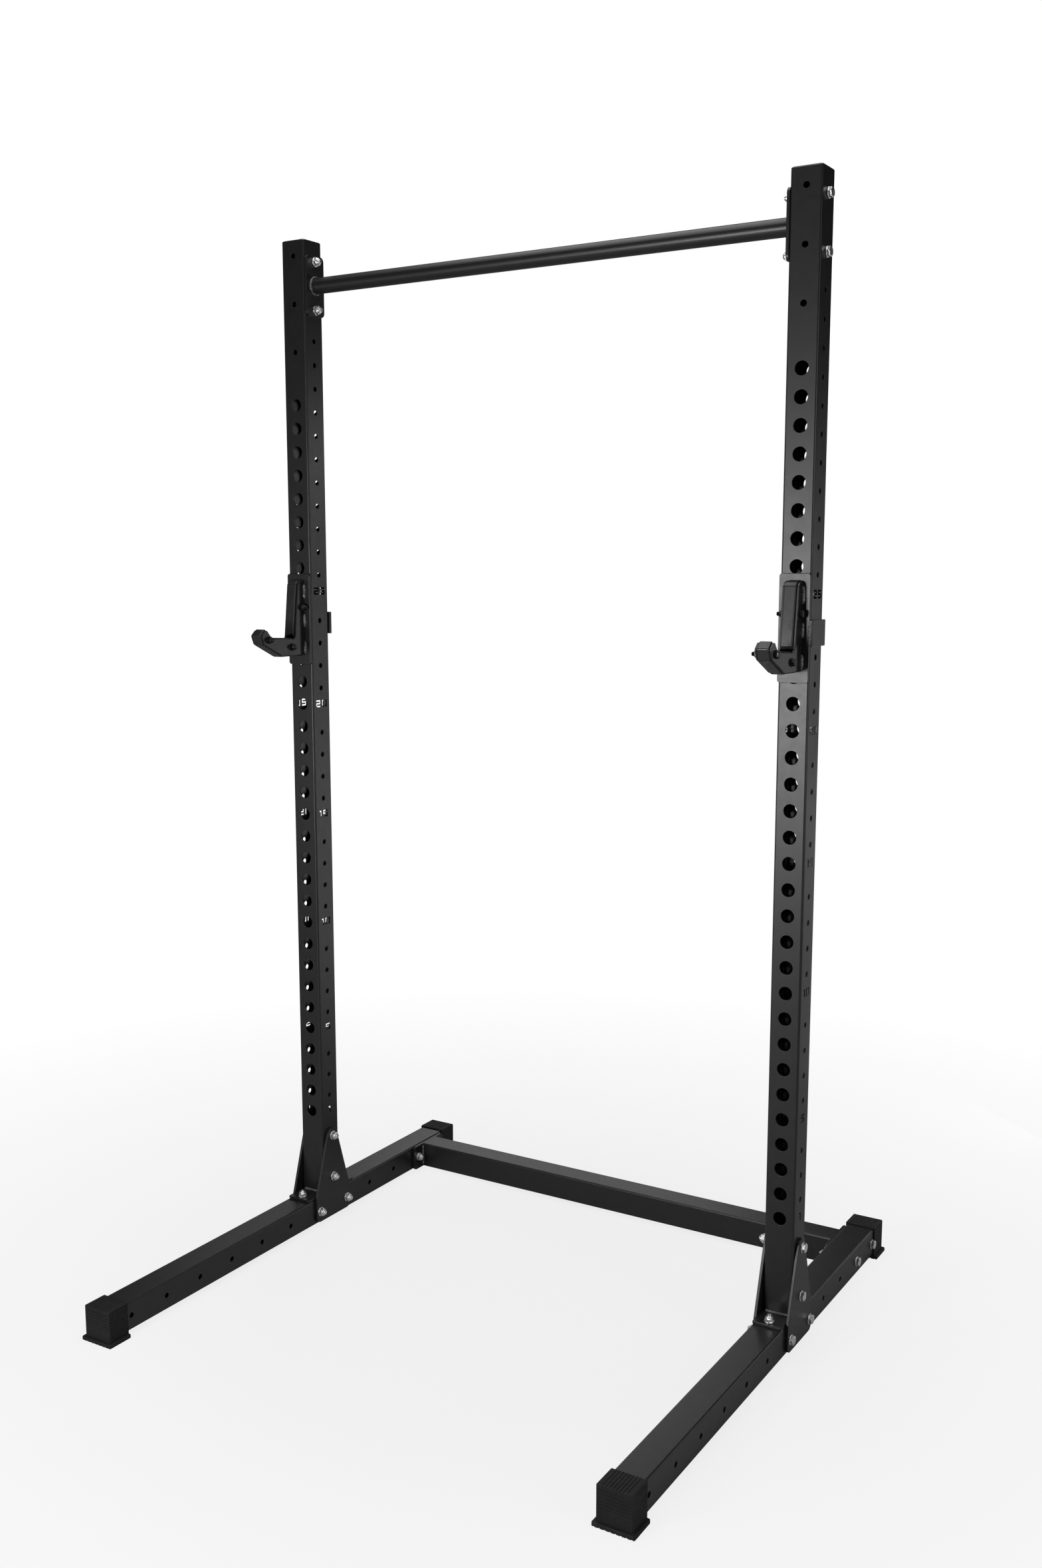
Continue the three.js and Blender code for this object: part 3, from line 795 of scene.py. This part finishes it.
def base_tube(word):
    """One base tube with its side holes and the foot plate's bolt holes."""
    low, high = span(f"{word}_base_tube")
    x, z = (low.x + high.x) / 2, (low.z + high.z) / 2
    y = centre(f"{word}_upright").y
    cutters = []
    position = low.y + TUBE
    while position < high.y:
        for way in (-1, 1):
            face = x + way * TUBE / 2
            cutters.append(hole("x", face, -way * WALL, position, z, BOLT_HOLE, SMALL_HOLE_SIDES))
        position += BASE_HOLE_PITCH
    for offset in (-FOOT_BOLT_OFFSET, FOOT_BOLT_OFFSET):
        for way in (-1, 1):
            face = z + way * TUBE / 2
            cutters.append(hole("z", face, -way * WALL, x, y + offset, BOLT_HOLE, SMALL_HOLE_SIDES))
    body = carved(tube("y", x, z, low.y, high.y), cutters)
    piece(f"{word}_base", body, "frame", "black_powder_coat", [f"{word}_base_tube"])


def gusset(node):
    """One tapered plate with a round top, bolted to the side of an upright and its base tube."""
    low, high = span(node)
    y = (low.y + high.y) / 2
    base_low, base_high = span(node.split("_")[0] + "_base_tube")
    flank = (high.y - y - GUSSET_TOP_RADIUS / math.cos(GUSSET_TILT)) / (GUSSET_BOLTS[0] - base_high.z)
    crest = GUSSET_BOLTS[0] + GUSSET_TOP_RADIUS
    shoulder = GUSSET_TOP_RADIUS * (1 / math.cos(GUSSET_TILT) - flank)
    outline = (
        (y - shoulder, crest, GUSSET_TOP_RADIUS - 0.3), (y + shoulder, crest, GUSSET_TOP_RADIUS - 0.3),
        (high.y, base_high.z, 30), (high.y, low.z, GUSSET_CORNER),
        (low.y, low.z, GUSSET_CORNER), (low.y, base_high.z, 30),
    )
    base_z = (base_low.z + base_high.z) / 2
    places = [(y, height) for height in GUSSET_BOLTS]
    places += [(y - BASE_HOLE_PITCH / 2, base_z), (y + BASE_HOLE_PITCH / 2, base_z)]
    cutters = [through("x", low.x, high.x, a, b, BOLT_HOLE) for a, b in places]
    body = carved(slab(outline, "x", low.x, high.x, corner_steps=10), cutters)
    piece(f"{node}_plate", body, "frame", "black_powder_coat", [node])


def rib_groove(base, out, edge, depth=RIB_DEPTH):
    """The section of a groove cut depth into a face, as (distance out of the face, place across it)."""
    return [
        (base + out, edge - 1.5), (base - out * depth, edge),
        (base - out * depth, edge + 0.3), (base + out, edge + 0.9),
    ]


def boot(node, end):
    """A ribbed rubber boot over the front (end -1) or back (end +1) of a base tube."""
    low, high = span(node)
    x = (low.x + high.x) / 2
    tube_low, tube_high = span(node.split("_")[0] + "_base_tube")
    half = TUBE / 2 + GAP + BOOT_WALL
    inner = TUBE / 2 + GAP
    face = tube_high.y + GAP + BOOT_END if end > 0 else tube_low.y - GAP - BOOT_END
    mouth = low.y if end > 0 else high.y

    def along(near, far):
        return sorted((mouth + end * near, face + end * far))

    section = corners(x - half, x + half, BOOT_FLANGE_HEIGHT - 2, high.z, BOOT_CORNER)
    shell = slab(section, "y", *along(0, 0), soft=1.5)
    flange = slab(corners(low.x, high.x, low.y, high.y, 3.5), "z", 0, BOOT_FLANGE_HEIGHT, soft=1.6)
    body = carved(shell, [flange], "UNION")
    cavity = along(-1, -BOOT_END)
    tube_space = block((x - inner, cavity[0], tube_low.z - GAP), (x + inner, cavity[1], tube_high.z + GAP))
    body = carved(body, [tube_space])
    grooves = []
    for index in range(RIBS_TOP):
        a = x + (index - (RIBS_TOP - 1) / 2) * RIB_PITCH
        section = [(across, up) for up, across in rib_groove(high.z, 1, a)]
        grooves.append(prism(section, "y", *along(-1, 1)))
    for index in range(RIBS_SIDE):
        z = high.z - RIB_SIDE_START - index * RIB_PITCH
        if z < BOOT_FLANGE_HEIGHT + 3:
            break
        for way in (-1, 1):
            grooves.append(prism(rib_groove(x + way * half, way, z), "y", *along(-1, -3)))
    for index in range(RIBS_FACE):
        z = high.z - RIB_FACE_START - index * RIB_PITCH
        section = rib_groove(face, end, z, RIB_FACE_DEPTH)
        grooves.append(prism(section, "x", x - half + 2.5, x + half - 2.5))
    for index in range(TREADS):
        a = low.x + (high.x - low.x) * (index + 0.5) / TREADS
        tread = [(low.y - 1, TREAD_RADIUS), (high.y + 1, TREAD_RADIUS)]
        grooves.append(turned(tread, "y", a, 0.3, 16))
    for groove in grooves:
        body = carved(body, [groove])
    piece(f"{node}_ribbed", body, "frame", "black_rubber", [node])


def rear_crossmember():
    """The square tube between the base tubes, with its end plates and welds."""
    low, high = span("rear_crossmember")
    z = (low.z + high.z) / 2
    y = sum(CROSS_BOLTS) / 2
    inner = high.x - PLATE
    bodies = [tube("x", y, z, -inner, inner)]
    bolt_z = centre("left_base_tube").z
    for way in (-1, 1):
        near, far = sorted((way * inner, way * high.x))
        outline = corners(low.y, high.y, low.z, high.z, END_PLATE_CORNER)
        cutters = [through("x", near, far, a, bolt_z, BOLT_HOLE) for a in CROSS_BOLTS]
        bodies.append(carved(slab(outline, "x", near, far), cutters))
        for front, name in ((-1, "front"), (1, "rear")):
            edge = y + front * (TUBE / 2 + 1)
            seam = way * (inner - 1)
            run = straight((seam, edge, low.z + CORNER), (seam, edge, high.z - CORNER))
            weld = bead(run, TUBE_WELD, f"cross{way}{name}")
            side = "left" if way < 0 else "right"
            piece(f"crossmember_{side}_{name}_weld", weld, "frame", "weld")
    piece("crossmember_with_plates", together(bodies), "frame", "black_powder_coat", ["rear_crossmember"])


# ---------------------------------------------------------------- the top

def pull_up_bar():
    """The round bar between the uprights, with its end plates and welds."""
    low, high = span("pull_up_bar")
    y, z = (low.y + high.y) / 2, (low.z + high.z) / 2
    inner = high.x - PLATE
    bore = BAR_RADIUS - WALL
    profile = [(-inner, BAR_RADIUS), (inner, BAR_RADIUS), (inner, bore), (-inner, bore)]
    bodies = [turned(profile, "x", y, z, 64, closed=True)]
    for way in (-1, 1):
        near, far = sorted((way * inner, way * high.x))
        outline = corners(low.y, high.y, low.z, high.z, END_PLATE_CORNER)
        cutters = [
            through("x", near, far, y, z + offset, BOLT_HOLE)
            for offset in (-BAR_BOLT_OFFSET, BAR_BOLT_OFFSET)
        ]
        bodies.append(carved(slab(outline, "x", near, far), cutters))
        ring = [Vector((way * (inner - 1), a, b)) for a, b in circle(BAR_RADIUS + 0.8, 150, y, z)]
        side = "left" if way < 0 else "right"
        piece(f"bar_{side}_weld", bead(ring, TUBE_WELD, f"bar{way}", closed=True), "frame", "weld")
    piece("bar_with_plates", together(bodies), "frame", "black_powder_coat", ["pull_up_bar"])


def top_cap(word):
    """A plastic cap with a rim on the upright's top and a hollow plug inside it."""
    low, high = span(f"{word}_top_cap")
    tube_low, tube_high = span(f"{word}_upright")
    x, y = (low.x + high.x) / 2, (low.y + high.y) / 2
    half = TUBE / 2
    rings = []
    levels = ((0, 0), (CAP_RIM - GAP - CAP_CHAMFER, 0), (CAP_RIM - GAP - 0.8, 1.0), (CAP_RIM - GAP, 2.6))
    for rise, inset in levels:
        edge = half - inset
        outline = rectangle(x - edge, x + edge, y - edge, y + edge, CORNER)
        rings.append([Vector((a, b, tube_high.z + GAP + rise)) for a, b in outline])
    plug = half - WALL - GAP - 1
    stem = prism(rectangle(x - plug, x + plug, y - plug, y + plug, 1.5), "z", low.z, tube_high.z + 1)
    core = plug - CAP_WALL
    hollow = block((x - core, y - core, low.z - 1), (x + core, y + core, tube_high.z - 0.5))
    body = carved(carved(loft(rings), [stem], "UNION"), [hollow])
    piece(f"{word}_cap", body, "frame", "black_plastic", [f"{word}_top_cap"])


# ---------------------------------------------------------------- J-hooks
# Drawn about the peg: X across, Y behind the upright's face, Z above the peg.

def guard_section(side):
    """The guard seen from above: a plate bent twice, round the side and the back of the upright."""
    outer = GUARD_INNER + GUARD_PLATE
    inside = TUBE + GUARD_BACK_CLEARANCE
    back = inside + GUARD_PLATE
    bend = GUARD_BEND
    points = (
        (TUBE / 2 + 0.2, -PLATE - GAP, 0.8), (outer, -PLATE - GAP, 2.5), (outer, back, bend + GUARD_PLATE),
        (-GUARD_OVERHANG, back, 1.5), (-GUARD_OVERHANG, inside, 1.5), (GUARD_INNER, inside, bend),
        (GUARD_INNER, -GAP, 0), (TUBE / 2 + 0.2, -GAP, 0),
    )
    return [(side * a, b, radius) for a, b, radius in points]


def j_hook(word, side):
    """One J-hook: steel pieces, plastic liners, weld beads and three bolts, all on its own body."""
    rides = f"{word}_j_hook"
    post_low, post_high = span(f"{word}_upright")
    peg_height = FIRST_HOLE + (HOOK_HOLE - 1) * HOLE_PITCH
    origin = Vector(((post_low.x + post_high.x) / 2, post_low.y, peg_height))

    def hook_piece(name, body, finish, stands_for=()):
        body.transform(Matrix.Translation(origin))
        piece(f"{word}_hook_{name}", body, rides, finish, stands_for)

    half = TUBE / 2
    bottom, top = HOOK_PLATE
    clearance = M8["shank"] + 0.6
    back = slab(corners(-half, half, bottom, top, 5), "y", -PLATE - GAP, -GAP)
    hook_piece("back_plate", back, "black_powder_coat", [f"{word}_hook_frame"])
    for way, name in ((side, "outer_cheek"), (-side, "inner_cheek")):
        near, far = sorted((way * CHEEK[0], way * CHEEK[1]))
        cutters = [through("x", near, far, a, b, clearance) for a, b in HOOK_BOLTS.values()]
        cheek = slab(CHEEK_OUTLINE, "x", near, far, 0.6)
        hook_piece(name, carved(cheek, cutters), "black_powder_coat")
    peg = [
        (-GAP - 0.1, PEG_RADIUS), (PEG_REACH - 2, PEG_RADIUS),
        (PEG_REACH - 0.6, PEG_RADIUS - 0.9), (PEG_REACH, PEG_RADIUS - 2),
    ]
    hook_piece("peg", turned(peg, "y", 0, 0, 40), "black_powder_coat")
    guard = slab(guard_section(side), "z", *GUARD, soft=0.9, corner_steps=6)
    hook_piece("guard", guard, "black_powder_coat")

    liner_half = CHEEK[0] - GAP
    liner_holes = [
        through("x", -liner_half, liner_half, a, b, clearance) for a, b in HOOK_BOLTS.values()
    ]
    for name, outline in (("arm_liner", ARM_LINER_OUTLINE), ("lip_liner", LIP_LINER_OUTLINE)):
        body = slab(outline, "x", -liner_half, liner_half, soft=2.2, steps=4)
        hook_piece(f"{name}_core", carved(body, liner_holes), "black_plastic", [f"{word}_hook_{name}"])

    for way, name in ((side, "outer"), (-side, "inner")):
        seam = (way * (CHEEK[1] + 1.2), -PLATE - GAP - 1.0)
        for index, (high, low) in enumerate(CHEEK_WELDS):
            run = straight((*seam, low), (*seam, high))
            weld = bead(run, CHEEK_WELD, f"{word}{name}{index}", ripple=4.2)
            hook_piece(f"{name}_weld_{index + 1}", weld, "weld")
    seam = (side * (half + 0.2), -PLATE - GAP + 0.6)
    run = straight((*seam, GUARD[0] + 1), (*seam, GUARD[1] - 1))
    hook_piece("guard_weld", bead(run, GUARD_WELD, f"{word}guard", ripple=3.4), "weld")

    face = CHEEK[1]
    for name, (a, b) in HOOK_BOLTS.items():
        set_fastener(
            f"{word}_hook_{name}_bolt", "x", origin.x + side * face, origin.x - side * face,
            origin.y + a, origin.z + b, M8, rides, "black_oxide")


# ---------------------------------------------------------------- bolts of the frame

def frame_bolts(word, side):
    """The ten bolts of one side of the stand."""
    post = centre(f"{word}_upright")
    base = centre(f"{word}_base_tube")
    x = post.x
    plate_face = TUBE / 2 + GAP + PLATE
    plate_outer = x + side * plate_face
    tube_outer = x + side * TUBE / 2
    nut_face = x - side * plate_face
    bar_height = centre("pull_up_bar").z
    half_pitch = BASE_HOLE_PITCH / 2
    sideways = {
        "gusset_top": (plate_outer, post.y, GUSSET_BOLTS[0]),
        "gusset_middle": (plate_outer, post.y, GUSSET_BOLTS[1]),
        "gusset_front": (plate_outer, post.y - half_pitch, base.z),
        "gusset_rear": (plate_outer, post.y + half_pitch, base.z),
        "bar_lower": (tube_outer, post.y, bar_height - BAR_BOLT_OFFSET),
        "bar_upper": (tube_outer, post.y, bar_height + BAR_BOLT_OFFSET),
        "crossmember_front": (tube_outer, CROSS_BOLTS[0], base.z),
        "crossmember_rear": (tube_outer, CROSS_BOLTS[1], base.z),
    }
    for name, (head_face, y, z) in sideways.items():
        set_fastener(f"{word}_{name}_bolt", "x", head_face, nut_face, y, z, M10)
    tube_low, tube_high = span(f"{word}_base_tube")
    plate_low, plate_high = span(f"{word}_foot_plate")
    for name, offset in (("front", -FOOT_BOLT_OFFSET), ("rear", FOOT_BOLT_OFFSET)):
        node = f"{word}_foot_plate_{name}_bolt"
        set_fastener(node, "z", tube_low.z, plate_high.z, x, post.y + offset, M10)


# ---------------------------------------------------------------- studio

def area_light(name, location, target, width, height, power):
    light = bpy.data.lights.new(name, "AREA")
    light.shape = "RECTANGLE"
    light.size = width
    light.size_y = height
    light.energy = power
    thing = bpy.data.objects.new(name, light)
    thing.location = location
    aim = Vector(target) - Vector(location)
    thing.rotation_euler = aim.to_track_quat("-Z", "Y").to_euler()
    thing.visible_camera = False
    bpy.context.scene.collection.objects.link(thing)


def world():
    """White where the camera sees it, and almost dark as a light."""
    background = bpy.data.worlds.new("studio")
    bpy.context.scene.world = background
    background.use_nodes = True
    nodes = background.node_tree.nodes
    links = background.node_tree.links
    seen = add(nodes, "ShaderNodeBackground", Color=(1, 1, 1, 1), Strength=1.0)
    lit = nodes["Background"]
    lit.inputs["Color"].default_value = (0.95, 0.97, 1.0, 1)
    lit.inputs["Strength"].default_value = 0.01
    mix = nodes.new("ShaderNodeMixShader")
    ray = nodes.new("ShaderNodeLightPath")
    links.new(ray.outputs["Is Camera Ray"], mix.inputs["Fac"])
    links.new(lit.outputs["Background"], mix.inputs[1])
    links.new(seen.outputs["Background"], mix.inputs[2])
    links.new(mix.outputs["Shader"], nodes["World Output"].inputs["Surface"])


def floor():
    """A pale floor that fades to white well away from the stand."""
    outline = circle(FLOOR_RADIUS, 96)
    body = loft([[Vector((a, b, z)) for a, b in outline] for z in (-FLOOR_THICKNESS, 0)])
    mesh = bpy.data.meshes.new("floor")
    body.to_mesh(mesh)
    mesh.transform(Matrix.Scale(MM, 4))
    thing = bpy.data.objects.new("floor", mesh)
    bpy.context.scene.collection.objects.link(thing)
    surface = Surface("pale_floor")
    surface.shader.inputs["Base Color"].default_value = (0.5, 0.5, 0.5, 1)
    surface.shader.inputs["Roughness"].default_value = 0.9
    surface.shader.inputs["Specular IOR Level"].default_value = 0.0
    nodes, links = surface.nodes, surface.links
    distance = nodes.new("ShaderNodeVectorMath")
    distance.operation = "LENGTH"
    fade = add(nodes, "ShaderNodeMapRange")
    fade.inputs["From Min"].default_value = 0.5
    fade.inputs["From Max"].default_value = 2.4
    fade.inputs["To Min"].default_value = 0.8
    seen = nodes.new("ShaderNodeMath")
    seen.operation = "MULTIPLY"
    ray = nodes.new("ShaderNodeLightPath")
    white = add(nodes, "ShaderNodeEmission", Color=(1, 1, 1, 1), Strength=1.0)
    mix = nodes.new("ShaderNodeMixShader")
    links.new(surface.space, distance.inputs[0])
    links.new(distance.outputs["Value"], fade.inputs["Value"])
    links.new(fade.outputs["Result"], seen.inputs[0])
    links.new(ray.outputs["Is Camera Ray"], seen.inputs[1])
    links.new(seen.outputs["Value"], mix.inputs["Fac"])
    links.new(surface.shader.outputs["BSDF"], mix.inputs[1])
    links.new(white.outputs["Emission"], mix.inputs[2])
    links.new(mix.outputs["Shader"], nodes["Material Output"].inputs["Surface"])
    mesh.materials.append(surface.material)


# Name, place, the point it faces (metres), width and height (metres), power (watts).
LIGHTS = (
    ("front_softbox", (-0.5, -2.75, 1.2), (0.58, 0.07, 1.3), 0.6, 0.8, 43),
    ("left_front_panel", (-2.9, -2.75, 1.4), (-0.58, 0.07, 1.4), 1.0, 1.4, 2),
    ("low_front_strip", (-1.6, -2.75, 0.66), (0, 0.1, 2.1), 1.6, 0.3, 6),
    ("right_front_panel", (2.9, -0.7, 1.5), (-0.55, 0.1, 1.4), 1.0, 1.6, 20),
    ("overhead", (0, -0.2, 4.2), (0, 0, 0), 3.2, 3.2, 75),
    ("back_softbox", (-1.6, 3.2, 1.9), (0, 0, 1.2), 1.6, 1.6, 10.5),
    ("left_back_panel", (-3.4, 3.6, 2.2), (-0.58, 0.1, 0.3), 1.6, 1.4, 5.5),
    ("right_back_panel", (4.1, 5.4, 0.9), (-0.55, 0.1, 0.9), 1.5, 1.8, 21),
    ("side_fill", (0.72, 1.65, 0.45), (-0.55, 0.1, 0.8), 0.35, 0.9, 1.8),
    ("side_accent", (0.53, 1.46, 1.87), (-0.55, 0.1, 1.77), 0.3, 0.25, 0.9),
)
FLOOR_RADIUS = 30000
FLOOR_THICKNESS = 20


def studio():
    bpy.context.scene.view_settings.view_transform = "Standard"
    world()
    floor()
    for light in LIGHTS:
        area_light(*light)


# ---------------------------------------------------------------- making it

make_camera()
studio()
for word, side in (("left", -1), ("right", 1)):
    upright(word)
    foot_plate(word)
    base_tube(word)
    gusset(f"{word}_outer_gusset")
    gusset(f"{word}_inner_gusset")
    boot(f"{word}_front_boot", -1)
    boot(f"{word}_rear_boot", 1)
    top_cap(word)
    j_hook(word, side)
    frame_bolts(word, side)
rear_crossmember()
pull_up_bar()
